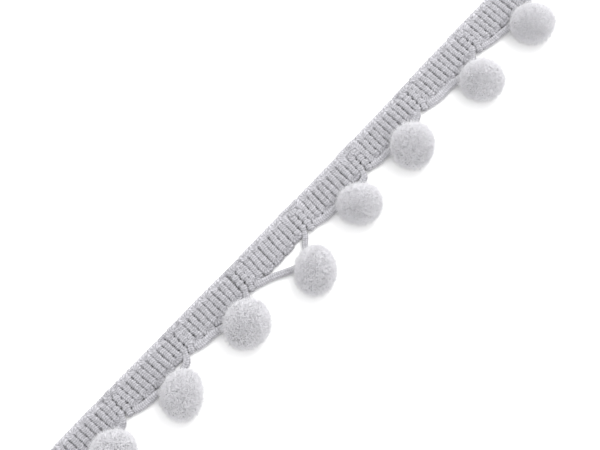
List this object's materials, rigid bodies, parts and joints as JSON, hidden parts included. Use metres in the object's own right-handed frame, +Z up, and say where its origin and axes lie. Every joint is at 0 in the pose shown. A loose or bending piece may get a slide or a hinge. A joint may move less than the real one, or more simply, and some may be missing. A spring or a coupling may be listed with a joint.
{
  "type": "pompom fringe trim",
  "caption": "Narrow braided sewing trim of a knit cord laid back and forth, with small clipped yarn pompoms on loops of the cord along one edge, lying flat.",
  "frame": {"origin": "under the middle of the whole trim, on the surface that it lies on", "axes": "+X along the braid, +Y from the pompoms to the braid, +Z up from the surface"},
  "size_m": [0.2, 0.0256, 0.012],
  "materials": {
    "braid_cord": "matte knit cotton cord, pale cool grey",
    "loop_cord": "matte knit cotton cord, pale cool grey",
    "ball_pile": "dense clipped acrylic pile, pale cool grey"
  },
  "bodies": {
    "root": {"header_braid": "braid_cord", "loop_left_1": "loop_cord", "loop_left_2": "loop_cord", "loop_left_3": "loop_cord", "loop_left_4": "loop_cord", "loop_left_5": "loop_cord", "loop_left_6": "loop_cord", "loop_left_7": "loop_cord", "loop_left_8": "loop_cord", "loop_right_1": "loop_cord", "loop_right_2": "loop_cord", "loop_right_3": "loop_cord", "loop_right_4": "loop_cord", "loop_right_5": "loop_cord", "loop_right_6": "loop_cord", "loop_right_7": "loop_cord", "loop_right_8": "loop_cord", "pompom_1": "ball_pile", "pompom_2": "ball_pile", "pompom_3": "ball_pile", "pompom_4": "ball_pile", "pompom_5": "ball_pile", "pompom_6": "ball_pile", "pompom_7": "ball_pile", "pompom_8": "ball_pile"}
  },
  "joints": []
}
